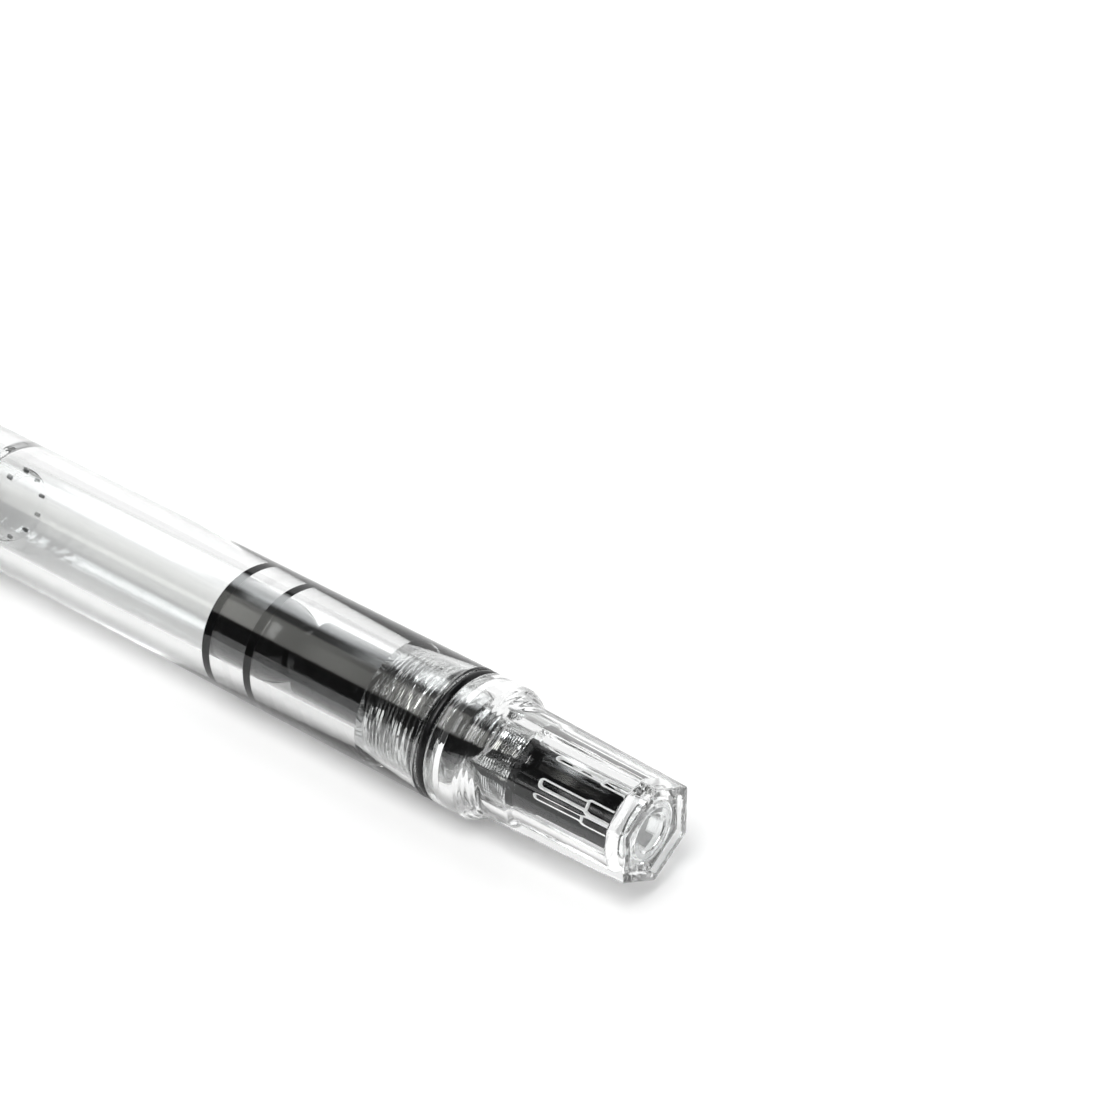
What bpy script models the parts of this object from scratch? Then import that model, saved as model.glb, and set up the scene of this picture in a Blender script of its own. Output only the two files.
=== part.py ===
"""Clear piston-filling fountain pen, lying on one flat of its six-sided cap, cap closed.

The pen's axis runs along X with the filling knob's end at +X and the cap's end at -X. Every turned
piece is drawn as a profile of (radius, distance forward of the tail end) in millimetres. It is built
on local Z and then laid down along X. Z is up and the cap's lowest flat lies on Z = 0.
"""

import math

import bmesh
import bpy
from mathutils import Matrix, Vector

MM = 0.001

# Overall sizes, in millimetres. Distances are measured forward from the tail end.
CLOSED_LENGTH = 141.5
CAP_INRADIUS = 6.45
CAP_CORNER = CAP_INRADIUS / math.cos(math.pi / 6)
BARREL_R = 6.35
BORE_R = 4.25
STEPS_LARGE = 28
STEPS_SMALL = 18

# Barrel stations.
BARREL_TAIL = 21.9
GUIDE_FRONT = 28.9
RESERVOIR_FRONT = 80.0
BARREL_SHOULDER = 88.0
SECTION_FRONT = 110.8
HOUSING_BORE_R = 3.9

# Cap thread on the barrel.
CAP_THREAD_ROOT = 4.95
CAP_THREAD_START, CAP_THREAD_END = 89.4, 93.2
CAP_THREAD_LEAD = 1.5
CAP_RIDGE_R = 0.3

# Filling mechanism.
KNOB_TURNS = 4.0
KNOB_TRAVEL = 3.6
PISTON_TRAVEL = 17.0
DRIVE_LEAD = (PISTON_TRAVEL + KNOB_TRAVEL) / KNOB_TURNS
KNOB_LEAD = KNOB_TRAVEL / KNOB_TURNS
DRIVE_STARTS = 2
DRIVE_RIDGE_CENTRE = 2.32
DRIVE_RIDGE_R = 0.34
DRIVE_CLEARANCE = 0.12
ROD_FLAT = 1.75
ROD_SHANK_R = 2.25
ROD_HEAD_R = 3.85
SLEEVE_R = 3.15
SLEEVE_HEAD_R = 3.32
SLEEVE_BORE_R = 2.82
SLEEVE_TAIL, SLEEVE_FRONT = 2.7, 27.85
SLOT_COUNT = 6
SLOT_FRONT, SLOT_STEP = 10.6, 5.4
SLOT_WIDE, SLOT_NARROW = 1.72, 1.22
SLOT_TURN = math.radians(-1.5)
SLOT_END_STEPS = 4

# Knob.
KNOB_FRONT = 20.92
KNOB_HEX_FRONT = 17.0
KNOB_END_CORNER, KNOB_FRONT_CORNER = 5.08, 5.6
KNOB_RECESS_CORNER, KNOB_RECESS_DEPTH = 4.15, 0.55
HEX_EDGE_ROUND = 0.3

# Nib and feed.
NIB_OUTER_R, NIB_SHEET = 2.92, 0.28
NIB_TIP = 131.0
FEED_TIP = 126.0

# Cap.
CAP_LIP, CAP_TOP = 88.3, 137.0
CAP_BORE_R = 5.95
CLIP_WIDTH, CLIP_SHEET = 3.0, 0.7

TAIL_X = CLOSED_LENGTH / 2

for old in list(bpy.data.objects):
    bpy.data.objects.remove(old, do_unlink=True)

parts = bpy.data.collections.new("fountain_pen")
cutters = bpy.data.collections.new("cutters")
for group in (parts, cutters):
    bpy.context.scene.collection.children.link(group)


def material(name, colour, roughness, metallic=0.0):
    mat = bpy.data.materials.new(name)
    mat.use_nodes = True
    shader = mat.node_tree.nodes["Principled BSDF"]
    shader.inputs["Base Color"].default_value = (*colour, 1)
    shader.inputs["Roughness"].default_value = roughness
    shader.inputs["Metallic"].default_value = metallic
    mat.diffuse_color = (*colour, 1)
    return mat


CLEAR = (0.86, 0.88, 0.89)
BLACK = (0.02, 0.021, 0.023)
STEEL = (0.62, 0.62, 0.63)


def along(distance):
    """Position on the pen's axis of a point this far forward of the tail end."""
    return (TAIL_X - distance) * MM


def place(obj, cutter=False):
    """Lay a piece built on local Z down along X, and put it in its collection."""
    obj.location = (0, 0, CAP_INRADIUS * MM)
    obj.rotation_euler = (0, math.pi / 2, 0)
    if cutter:
        cutters.objects.link(obj)
        obj.hide_render = True
        obj.display_type = "WIRE"
    else:
        parts.objects.link(obj)
    return obj


def finish(obj, name, colour, roughness, metallic=0.0):
    obj.data.materials.append(material(name, colour, roughness, metallic))
    return place(obj)


def turned(name, profile, steps=STEPS_LARGE, closed=True):
    """Solid of revolution. The profile runs forward down its outer side, then back up the bore."""
    mesh = bpy.data.meshes.new(name)
    points = [(r * MM, 0, along(d)) for r, d in profile]
    last = len(points)
    edges = [(i, i + 1) for i in range(last - 1)]
    if closed:
        edges.append((last - 1, 0))
    mesh.from_pydata(points, edges, [])
    obj = bpy.data.objects.new(name, mesh)
    screw = obj.modifiers.new("turn", "SCREW")
    screw.axis = "Z"
    screw.steps = steps
    screw.render_steps = steps
    screw.use_merge_vertices = True
    screw.merge_threshold = 0.000001
    screw.use_smooth_shade = True
    return obj


def solid_turned(name, profile, steps=STEPS_LARGE):
    """Solid of revolution with no bore: the profile starts and ends on the axis."""
    return turned(name, profile, steps, closed=False)


def ring(name, centre_r, section_r, distance, sides=8, steps=STEPS_LARGE):
    """Sealing ring of round section."""
    profile = []
    for i in range(sides):
        turn = 2 * math.pi * i / sides
        profile.append((centre_r + section_r * math.cos(turn), distance + section_r * math.sin(turn)))
    return turned(name, profile, steps)


def box(name, low, high):
    """Block between two corners given as (across, side, distance) in local millimetres."""
    mesh = bpy.data.meshes.new(name)
    shape = bmesh.new()
    size = [abs(b - a) * MM for a, b in zip(low, high)]
    middle = [(a + b) / 2 for a, b in zip(low, high)]
    centre = Vector((middle[0] * MM, middle[1] * MM, along(middle[2])))
    move = Matrix.Translation(centre) @ Matrix.Diagonal((*size, 1))
    bmesh.ops.create_cube(shape, size=1, matrix=move)
    shape.to_mesh(mesh)
    shape.free()
    return bpy.data.objects.new(name, mesh)


def prism(name, corner_tail, corner_front, tail, front, clocking, sides=6):
    """Straight-sided or tapered prism about the axis. Clocking turns its first corner from across."""
    mesh = bpy.data.meshes.new(name)
    shape = bmesh.new()
    middle = Matrix.Translation((0, 0, along((tail + front) / 2)))
    turn = Matrix.Rotation(clocking - math.pi / 2, 4, "Z")
    bmesh.ops.create_cone(
        shape,
        cap_ends=True,
        segments=sides,
        radius1=corner_front * MM,
        radius2=corner_tail * MM,
        depth=(front - tail) * MM,
        matrix=middle @ turn,
    )
    shape.to_mesh(mesh)
    shape.free()
    return bpy.data.objects.new(name, mesh)


def curve_solid(name, curve, to_local):
    """Closed mesh object from a filled or bevelled curve."""
    line = bpy.data.objects.new(name + "_line", curve)
    bpy.context.scene.collection.objects.link(line)
    view = bpy.context.evaluated_depsgraph_get()
    mesh = bpy.data.meshes.new_from_object(line.evaluated_get(view))
    bpy.data.objects.remove(line, do_unlink=True)
    shape = bmesh.new()
    shape.from_mesh(mesh)
    bmesh.ops.transform(shape, matrix=to_local, verts=shape.verts)
    bmesh.ops.remove_doubles(shape, verts=shape.verts, dist=0.000001)
    bmesh.ops.recalc_face_normals(shape, faces=shape.faces)
    shape.to_mesh(mesh)
    shape.free()
    mesh.name = name
    return bpy.data.objects.new(name, mesh)


def helix(name, centre_r, wire_r, tail, front, lead, phase, per_turn=14, sides=4):
    """Right-handed ridge wound round the axis, as a closed mesh."""
    turns = (front - tail) / lead
    count = max(2, int(turns * per_turn))
    curve = bpy.data.curves.new(name, "CURVE")
    curve.dimensions = "3D"
    curve.bevel_depth = wire_r * MM
    curve.bevel_resolution = sides // 2 - 1
    curve.use_fill_caps = True
    line = curve.splines.new("POLY")
    line.points.add(count)
    for i, point in enumerate(line.points):
        distance = front - (front - tail) * i / count
        turn = phase - 2 * math.pi * distance / lead
        x, y = centre_r * math.cos(turn) * MM, centre_r * math.sin(turn) * MM
        point.co = (x, y, along(distance), 1)
    return curve_solid(name, curve, Matrix.Identity(4))


def extruded(name, outline, half, to_local):
    """Flat outline of (first, second) millimetres, extruded by half each way and turned to local."""
    curve = bpy.data.curves.new(name, "CURVE")
    curve.dimensions = "2D"
    curve.fill_mode = "BOTH"
    curve.extrude = half * MM
    line = curve.splines.new("POLY")
    line.points.add(len(outline) - 1)
    for point, (first, second) in zip(line.points, outline):
        point.co = (first * MM, along(second), 0, 1)
    line.use_cyclic_u = True
    return curve_solid(name, curve, to_local)


def slab_across(name, outline, low, high):
    """Outline of (side, distance) extruded between two heights above the axis."""
    middle, half = (low + high) / 2, (high - low) / 2
    to_local = Matrix(((0, 0, -1, -middle * MM), (1, 0, 0, 0), (0, 1, 0, 0), (0, 0, 0, 1)))
    return extruded(name, outline, half, to_local)


def slab_sideways(name, outline, width):
    """Outline of (height above the axis, distance) extruded evenly to both sides."""
    to_local = Matrix(((-1, 0, 0, 0), (0, 0, 1, 0), (0, 1, 0, 0), (0, 0, 0, 1)))
    return extruded(name, outline, width / 2, to_local)


def boolean(obj, tool, operation):
    place(tool, cutter=True)
    step = obj.modifiers.new(f"{operation.lower()}_{tool.name}", "BOOLEAN")
    step.operation = operation
    step.solver = "EXACT"
    step.object = tool
    return obj


def cut(obj, tool):
    return boolean(obj, tool, "DIFFERENCE")


def join(obj, tool):
    return boolean(obj, tool, "UNION")


def soften(obj, width, segments=2, angle=50):
    """Round the sharp edges of a prism."""
    bevel = obj.modifiers.new("edges", "BEVEL")
    bevel.width = width * MM
    bevel.segments = segments
    bevel.limit_method = "ANGLE"
    bevel.angle_limit = math.radians(angle)
    return obj


# ---- Barrel: one clear moulding with the grip section and the cap thread at its front.
barrel = turned(
    "barrel",
    [
        (5.95, BARREL_TAIL),
        (BARREL_R - 0.1, BARREL_TAIL),
        (BARREL_R, BARREL_TAIL + 0.2),
        (BARREL_R, BARREL_SHOULDER - 0.3),
        (BARREL_R - 0.25, BARREL_SHOULDER),
        (5.35, BARREL_SHOULDER + 0.1),
        (CAP_THREAD_ROOT, BARREL_SHOULDER + 0.7),
        (CAP_THREAD_ROOT, 93.8),
        (5.15, 94.4),
        (5.1, 98.0),
        (4.98, 104.0),
        (4.96, 107.0),
        (5.15, 109.4),
        (5.12, 110.3),
        (4.85, SECTION_FRONT),
        (4.35, SECTION_FRONT),
        (4.35, 108.7),
        (HOUSING_BORE_R, 108.7),
        (HOUSING_BORE_R, RESERVOIR_FRONT + 0.1),
        (BORE_R, RESERVOIR_FRONT),
        (BORE_R, GUIDE_FRONT + 0.25),
        (5.62, GUIDE_FRONT + 0.2),
        (5.62, BARREL_TAIL + 0.62),
        (5.8, BARREL_TAIL + 0.57),
        (5.8, BARREL_TAIL + 0.1),
    ],
)
cap_thread = helix(
    "barrel_thread",
    CAP_THREAD_ROOT,
    CAP_RIDGE_R,
    CAP_THREAD_START,
    CAP_THREAD_END,
    CAP_THREAD_LEAD,
    0.0,
)
join(barrel, cap_thread)
finish(barrel, "barrel", CLEAR, 0.04)

# ---- Nib housing: tube in the section, its end standing in the reservoir with a ring of small pits.
HOUSING_R, HOUSING_BORE = 3.75, 3.02
CROWN_TAIL, PIT_COUNT = 77.4, 10
PIT_CENTRE_R, PIT_R, PIT_DEPTH = 3.45, 0.22, 0.7
PIT_TURN = math.radians(118.5)
housing = turned(
    "nib_housing",
    [
        (HOUSING_BORE, CROWN_TAIL),
        (HOUSING_R - 0.05, CROWN_TAIL),
        (HOUSING_R, CROWN_TAIL + 0.05),
        (HOUSING_R, 105.6),
        (3.25, 105.6),
        (3.25, 106.6),
        (HOUSING_R, 106.6),
        (HOUSING_R, 108.9),
        (4.2, 108.9),
        (4.2, 110.2),
        (3.9, 110.5),
        (HOUSING_BORE + 0.2, 110.5),
        (HOUSING_BORE, 110.3),
    ],
)
for i in range(PIT_COUNT):
    pit = prism(f"pit_{i + 1}", PIT_R, PIT_R, CROWN_TAIL - 0.5, CROWN_TAIL + PIT_DEPTH, 0.0, 8)
    turn = PIT_TURN + 2 * math.pi * i / PIT_COUNT
    reach = PIT_CENTRE_R * MM
    pit.data.transform(Matrix.Translation((reach * math.cos(turn), reach * math.sin(turn), 0)))
    cut(housing, pit)
finish(housing, "nib_housing", (0.7, 0.72, 0.74), 0.12)

finish(ring("housing_o_ring", 3.56, 0.25, 106.1, 6, STEPS_SMALL), "housing_o_ring", BLACK, 0.5)

# ---- Feed: black finned channel piece under the nib.
FEED_R = 2.5
FIN_FIRST, FIN_PITCH, FIN_COUNT = 112.2, 1.55, 7
feed_profile = [
    (0, 82.5),
    (1.1, 82.5),
    (1.3, 83.0),
    (1.3, 86.5),
    (FEED_R - 0.2, 87.2),
    (FEED_R, 87.6),
    (FEED_R, FIN_FIRST - 0.5),
]
for i in range(FIN_COUNT):
    at = FIN_FIRST + i * FIN_PITCH
    crest = FEED_R - 0.13 * i
    groove = crest - 0.55
    feed_profile += [(groove, at - 0.4), (groove, at), (crest, at + 0.05), (crest, at + 1.0)]
feed_profile += [(1.5, 123.2), (0.9, 125.4), (0.5, FEED_TIP), (0, FEED_TIP)]
feed = solid_turned("feed", feed_profile, STEPS_SMALL)
cut(feed, box("feed_channel", (-6, -0.25, 80.0), (-FEED_R + 0.6, 0.25, 111.5)))
finish(feed, "feed", (0.025, 0.025, 0.027), 0.4)

# ---- Nib: rolled steel sheet, cut to its outline, with a slit, a breather hole and a tip.
nib = turned(
    "nib",
    [
        (NIB_OUTER_R - NIB_SHEET, 96.0),
        (NIB_OUTER_R, 96.0),
        (NIB_OUTER_R, 113.5),
        (2.6, 118.0),
        (1.95, 124.0),
        (1.1, 129.2),
        (0.85, 130.6),
        (0.85 - NIB_SHEET, 130.6),
        (1.1 - NIB_SHEET, 129.2),
        (1.95 - NIB_SHEET, 124.0),
        (2.6 - NIB_SHEET, 118.0),
        (NIB_OUTER_R - NIB_SHEET, 113.5),
    ],
    STEPS_LARGE,
)
NIB_OUTLINE = [
    (2.55, 95.0),
    (2.55, 110.0),
    (2.9, 112.5),
    (2.75, 116.0),
    (1.9, 121.0),
    (0.75, 128.0),
    (0.3, 131.4),
]
half_outline = [(-side, distance) for side, distance in reversed(NIB_OUTLINE)]
outline_tool = slab_across("nib_outline", NIB_OUTLINE + half_outline, 0.55, 4.5)
boolean(nib, outline_tool, "INTERSECT")
cut(nib, box("nib_slit", (-6, -0.05, 120.5), (2, 0.05, 132.0)))
breather = prism("nib_breather", 0.55, 0.55, -3.0, 3.0, 0.0, 16)
breather.data.transform(
    Matrix.Translation((-2.0 * MM, 0, along(120.4)))
    @ Matrix.Rotation(math.pi / 2, 4, "Y")
    @ Matrix.Translation((0, 0, -along(0)))
)
cut(nib, breather)
finish(nib, "nib", STEEL, 0.18, 1.0)

# ---- Piston guide: clear threaded bush screwed into the barrel's tail, with a stub for the knob.
GUIDE_RIDGES, GUIDE_PITCH = 5, 0.9
guide_profile = [
    (3.45, 13.2),
    (3.75, 13.2),
    (3.9, 13.4),
    (3.9, 19.77),
    (4.3, 20.47),
    (5.3, 20.47),
    (5.3, 21.99),
    (5.7, 21.99),
    (5.7, 22.39),
    (5.45, 22.44),
    (4.8, 22.44),
    (4.8, 23.19),
    (5.45, 23.22),
    (5.45, 23.67),
    (5.15, 23.87),
]
for i in range(GUIDE_RIDGES):
    at = 24.27 + i * GUIDE_PITCH
    guide_profile += [(5.5, at), (5.15, at + GUIDE_PITCH / 2)]
guide_profile += [(5.15, GUIDE_FRONT - 0.2), (4.95, GUIDE_FRONT), (3.0, GUIDE_FRONT)]
guide_profile += [(3.0, 28.05), (4.05, 28.05), (4.05, 21.1), (3.45, 20.5)]
guide = turned("piston_guide", guide_profile)
plate = turned("guide_plate", [(1.0, 28.15), (3.4, 28.15), (3.4, 28.8), (1.0, 28.8)])
hole = solid_turned("rod_hole", [(0, 26.0), (2.82, 26.0), (2.82, 30.0), (0, 30.0)], STEPS_SMALL)
slab = box("rod_hole_flats", (-6, -ROD_FLAT - 0.1, 25.0), (6, ROD_FLAT + 0.1, 31.0))
boolean(hole, slab, "INTERSECT")
join(guide, plate)
cut(guide, hole)
join(guide, helix("stub_thread", 3.9, 0.26, 13.9, 18.3, KNOB_LEAD, 0.0, 16))
finish(guide, "piston_guide", CLEAR, 0.06)

finish(ring("guide_o_ring", 5.2, 0.33, 22.82), "guide_o_ring", BLACK, 0.45)

# ---- Piston: double-lipped black seal on a rod with two flats and a steep two-start thread.
SEAL_LIP_R, SEAL_BODY_R = 4.19, 4.1
seal = turned(
    "piston_seal",
    [
        (2.3, 40.35),
        (2.8, 40.35),
        (3.3, 41.0),
        (3.6, 41.5),
        (3.85, 42.1),
        (4.05, 42.4),
        (SEAL_LIP_R, 42.45),
        (SEAL_LIP_R, 43.35),
        (SEAL_BODY_R, 43.4),
        (SEAL_BODY_R, 47.45),
        (SEAL_LIP_R, 47.5),
        (SEAL_LIP_R, 48.4),
        (4.1, 48.5),
        (3.6, 48.25),
        (3.4, 47.45),
        (2.9, 47.45),
        (2.9, 46.15),
        (2.3, 46.15),
    ],
)
finish(seal, "piston_seal", BLACK, 0.3)
retainer = solid_turned(
    "seal_retainer",
    [(0, 46.25), (2.8, 46.25), (2.8, 47.55), (3.1, 47.6), (3.1, 47.9), (2.8, 48.2), (0, 48.3)],
    STEPS_SMALL,
)
finish(retainer, "seal_retainer", BLACK, 0.35)

rod = solid_turned(
    "piston_rod",
    [
        (0, 3.0),
        (1.8, 3.0),
        (ROD_SHANK_R, 3.5),
        (ROD_SHANK_R, 29.2),
        (3.4, 29.2),
        (ROD_HEAD_R, 29.6),
        (ROD_HEAD_R, 38.1),
        (ROD_HEAD_R - 0.1, 38.2),
        (2.5, 38.2),
        (2.5, 40.15),
        (2.15, 40.2),
        (2.15, 45.75),
        (1.8, 46.1),
        (0, 46.1),
    ],
    STEPS_SMALL,
)
for start in range(DRIVE_STARTS):
    phase = math.pi * start
    join(
        rod,
        helix(f"rod_thread_{start + 1}", DRIVE_RIDGE_CENTRE, DRIVE_RIDGE_R, 4.2, 28.5, DRIVE_LEAD, phase),
    )
for side in (-1, 1):
    low, high = sorted((side * ROD_FLAT, side * 6.0))
    cut(rod, box(f"rod_flat_{side}".replace("-", "m"), (-6, low, 1.0), (6, high, 29.1)))
finish(rod, "piston_rod", BLACK, 0.3)

# ---- Drive sleeve: black tube that turns with the knob. Its nut end works the rod's thread.
sleeve = turned(
    "drive_sleeve",
    [
        (SLEEVE_BORE_R, SLEEVE_TAIL),
        (SLEEVE_HEAD_R - 0.2, SLEEVE_TAIL),
        (SLEEVE_HEAD_R, SLEEVE_TAIL + 0.3),
        (SLEEVE_HEAD_R, SLOT_STEP),
        (SLEEVE_R, SLOT_STEP + 0.15),
        (SLEEVE_R, 24.9),
        (3.9, 25.0),
        (3.9, SLEEVE_FRONT - 0.1),
        (3.8, SLEEVE_FRONT),
        (2.48, SLEEVE_FRONT),
        (2.48, 23.65),
        (SLEEVE_BORE_R, 23.25),
    ],
)
for start in range(DRIVE_STARTS):
    groove = helix(
        f"nut_groove_{start + 1}",
        DRIVE_RIDGE_CENTRE,
        DRIVE_RIDGE_R + DRIVE_CLEARANCE,
        22.05,
        29.55,
        DRIVE_LEAD,
        math.pi * start,
        18,
    )
    cut(sleeve, groove)
wide, narrow = SLOT_WIDE / 2, SLOT_NARROW / 2
slot_side = [(wide, SLEEVE_TAIL - 1), (wide, SLOT_STEP), (narrow, SLOT_STEP + 0.05)]
for i in range(SLOT_END_STEPS):
    turn = math.pi / 2 * i / SLOT_END_STEPS
    slot_side.append((narrow * math.cos(turn), SLOT_FRONT - narrow + narrow * math.sin(turn)))
slot_outline = slot_side + [(0, SLOT_FRONT)] + [(-side, d) for side, d in reversed(slot_side)]
for i in range(SLOT_COUNT // 2):
    slot = slab_across(f"slot_{i + 1}", slot_outline, -5, 5)
    slot.data.transform(Matrix.Rotation(2 * math.pi * i / SLOT_COUNT + SLOT_TURN, 4, "Z"))
    cut(sleeve, slot)
finish(sleeve, "drive_sleeve", BLACK, 0.28)

# ---- Knob: clear, round skirt at the barrel and a tapering six-sided grip.
finish(ring("knob_o_ring", 5.88, 0.37, 21.41), "knob_o_ring", BLACK, 0.45)
knob = prism("piston_knob", KNOB_END_CORNER, KNOB_FRONT_CORNER, 0.0, KNOB_HEX_FRONT, 0.0)
soften(knob, HEX_EDGE_ROUND)
skirt = solid_turned(
    "knob_skirt",
    [
        (0, 15.4),
        (4.7, 15.4),
        (5.25, 16.2),
        (5.75, 16.7),
        (6.2, 17.1),
        (BARREL_R, 17.5),
        (BARREL_R, KNOB_FRONT - 0.2),
        (BARREL_R - 0.15, KNOB_FRONT),
        (0, KNOB_FRONT),
    ],
)
join(knob, skirt)
bore = solid_turned(
    "knob_bore",
    [
        (0, 2.3),
        (3.65, 2.3),
        (3.65, 12.4),
        (4.32, 13.0),
        (4.32, 19.87),
        (5.5, 20.02),
        (5.5, KNOB_FRONT + 1),
        (0, KNOB_FRONT + 1),
    ],
)
cut(knob, bore)
recess = prism("knob_recess", KNOB_RECESS_CORNER, KNOB_RECESS_CORNER, -1.0, KNOB_RECESS_DEPTH, 0.0)
cut(knob, recess)
pocket = solid_turned(
    "knob_pocket", [(0, -1.0), (3.0, -1.0), (3.0, 1.35), (0, 1.35)], STEPS_SMALL
)
cut(knob, pocket)
finish(knob, "piston_knob", CLEAR, 0.05)
disc = solid_turned(
    "knob_end_disc",
    [(0, 0.62), (1.9, 0.62), (2.1, 0.42), (2.5, 0.42), (2.7, 0.62), (2.9, 0.72), (2.9, 1.25), (0, 1.25)],
    STEPS_SMALL,
)
finish(disc, "knob_end_disc", (0.8, 0.82, 0.83), 0.15)

# ---- Cap: clear six-sided shell with a liner, a thread ring, a clip and a finial.
liner = solid_turned(
    "inner_cap",
    [
        (0, 134.0),
        (4.5, 134.0),
        (4.85, 133.6),
        (4.85, 111.3),
        (5.6, 111.3),
        (5.8, 111.6),
        (5.8, 134.6),
        (5.5, 134.9),
        (0, 134.9),
    ],
)
finish(liner, "inner_cap", CLEAR, 0.1)

THREAD_RING_R = 5.86
thread_ring = turned(
    "cap_thread_ring",
    [
        (5.5, 88.5),
        (THREAD_RING_R, 88.5),
        (THREAD_RING_R, 94.2),
        (5.5, 94.2),
    ],
)
ring_thread = helix(
    "ring_thread",
    5.6,
    0.2,
    CAP_THREAD_START - 0.2,
    CAP_THREAD_END + 0.4,
    CAP_THREAD_LEAD,
    math.pi,
)
join(thread_ring, ring_thread)
finish(thread_ring, "cap_thread_ring", (0.8, 0.82, 0.84), 0.1)

cap = prism("cap_body", CAP_CORNER, CAP_CORNER, CAP_LIP, CAP_TOP, math.pi / 2)
soften(cap, HEX_EDGE_ROUND)
cap_bore = solid_turned(
    "cap_bore",
    [(0, CAP_LIP - 1), (CAP_BORE_R, CAP_LIP - 1), (CAP_BORE_R, 134.8), (5.6, 135.1), (0, 135.1)],
)
cut(cap, cap_bore)
stud_hole = solid_turned("stud_hole", [(0, 133.0), (2.0, 133.0), (2.0, 139.0), (0, 139.0)], STEPS_SMALL)
cut(cap, stud_hole)
finish(cap, "cap_body", CLEAR, 0.04)

washer = turned("clip_washer", [(2.15, 137.1), (5.9, 137.1), (5.9, 137.45), (2.15, 137.45)])
finish(washer, "clip_washer", (0.05, 0.05, 0.055), 0.5)

# The clip's side outline, as (height above the axis, distance), and its plate under the finial.
CLIP_OUTLINE = [
    (5.0, 137.6),
    (7.6, 137.6),
    (8.25, 137.2),
    (8.45, 136.4),
    (8.2, 120.0),
    (7.75, 104.0),
    (7.15, 101.2),
    (6.62, 99.6),
    (6.56, 98.9),
    (6.7, 98.2),
    (7.45, 96.6),
    (8.1, 96.7),
    (7.5, 98.4),
    (7.45, 99.4),
    (7.95, 101.2),
    (8.45, 103.8),
    (8.9, 120.0),
    (9.15, 136.6),
    (8.85, 137.7),
    (8.0, 138.2),
    (5.0, 138.2),
]
clip = slab_sideways("cap_clip", CLIP_OUTLINE, CLIP_WIDTH)
join(clip, turned("clip_plate", [(2.15, 137.55), (5.9, 137.55), (5.9, 138.25), (2.15, 138.25)]))
finish(clip, "cap_clip", STEEL, 0.22, 1.0)

finial = prism("cap_finial", 6.3, 5.2, 138.35, CLOSED_LENGTH, math.pi / 2)
soften(finial, HEX_EDGE_ROUND)
join(finial, solid_turned("finial_stud", [(0, 135.4), (1.85, 135.4), (1.85, 139.5), (0, 139.5)], STEPS_SMALL))
cut(finial, solid_turned("finial_pocket", [(0, 140.7), (3.2, 140.7), (3.2, 143.0), (0, 143.0)], STEPS_SMALL))
finish(finial, "cap_finial", CLEAR, 0.05)
finial_disc = solid_turned(
    "finial_disc", [(0, 140.8), (3.1, 140.8), (3.1, 141.2), (2.9, 141.3), (0, 141.35)], STEPS_SMALL
)
finish(finial_disc, "finial_disc", (0.5, 0.5, 0.52), 0.25, 1.0)
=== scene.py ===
import math

import bmesh
import bpy
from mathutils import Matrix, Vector


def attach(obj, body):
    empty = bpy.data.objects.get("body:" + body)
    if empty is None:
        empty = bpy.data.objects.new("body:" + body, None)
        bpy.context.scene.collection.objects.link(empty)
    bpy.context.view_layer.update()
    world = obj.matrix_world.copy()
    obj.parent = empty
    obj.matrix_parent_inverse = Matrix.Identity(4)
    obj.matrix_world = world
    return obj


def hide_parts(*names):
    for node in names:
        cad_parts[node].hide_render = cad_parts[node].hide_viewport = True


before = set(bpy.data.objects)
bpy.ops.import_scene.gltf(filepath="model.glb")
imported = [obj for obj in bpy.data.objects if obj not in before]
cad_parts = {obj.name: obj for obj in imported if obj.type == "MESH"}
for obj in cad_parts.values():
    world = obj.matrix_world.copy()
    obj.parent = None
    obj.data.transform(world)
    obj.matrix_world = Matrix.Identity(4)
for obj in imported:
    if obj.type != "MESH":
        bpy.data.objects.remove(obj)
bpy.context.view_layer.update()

# ---- Where things are. Pieces are drawn in millimetres: radius from the pen's axis, and distance
# forward of the tail end. Turns are measured about the axis from +Y towards +Z. A ring has 120
# points, and a six-sided one has them closer together at its corners.
MM = 0.001
TAIL = 70.75
AXIS_HEIGHT = 6.45
TAU = 2 * math.pi
ROUND = [TAU * i / 120 for i in range(120)]
FROM_FACE = (0, 5, 10, 15, 19, 22, 24, 25.5, 26.6, 27.5, 28.2, 28.8, 29.3, 29.7)
ACROSS_FACE = [-30.0] + [-step for step in reversed(FROM_FACE[1:])] + list(FROM_FACE)
HEX_TURNS = []
for side in range(6):
    middle = math.radians(60 * side)
    HEX_TURNS += [middle + math.radians(step) for step in ACROSS_FACE]


def spot(distance, radius, turn):
    """Place in metres of a point at a radius and a turn."""
    across, up = radius * math.cos(turn), radius * math.sin(turn)
    return ((TAIL - distance) * MM, across * MM, (AXIS_HEIGHT + up) * MM)


def hexagon(inradius, rounding, first_face):
    """Radius at a turn of a six-sided outline with rounded corners."""

    def radius(turn):
        off = abs((turn - first_face + math.pi / 6) % (math.pi / 3) - math.pi / 6)
        flat = (inradius - rounding) * math.tan(math.pi / 6)
        if inradius * math.tan(off) <= flat:
            return inradius / math.cos(off)
        reach = (inradius - rounding) / math.cos(math.pi / 6)
        from_corner = math.pi / 6 - off
        return reach * math.cos(from_corner) + math.sqrt(
            max(rounding**2 - (reach * math.sin(from_corner)) ** 2, 0)
        )

    return radius


def thread(root, crest, lead, distance, first, last, starts=1, phase=0.0, flat=0.9):
    """Radius at a turn of a screw thread's ridge, fading out at both ends."""
    fade = max(0.0, min(1.0, (distance - first) / (0.4 * lead), (last - distance) / (0.4 * lead)))

    def radius(turn):
        wave = math.cos(starts * (turn + math.pi / 2 - phase + TAU * distance / lead))
        return root + (crest - root) * fade * max(0.0, min(1.0, 0.5 + flat * wave))

    return radius


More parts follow.
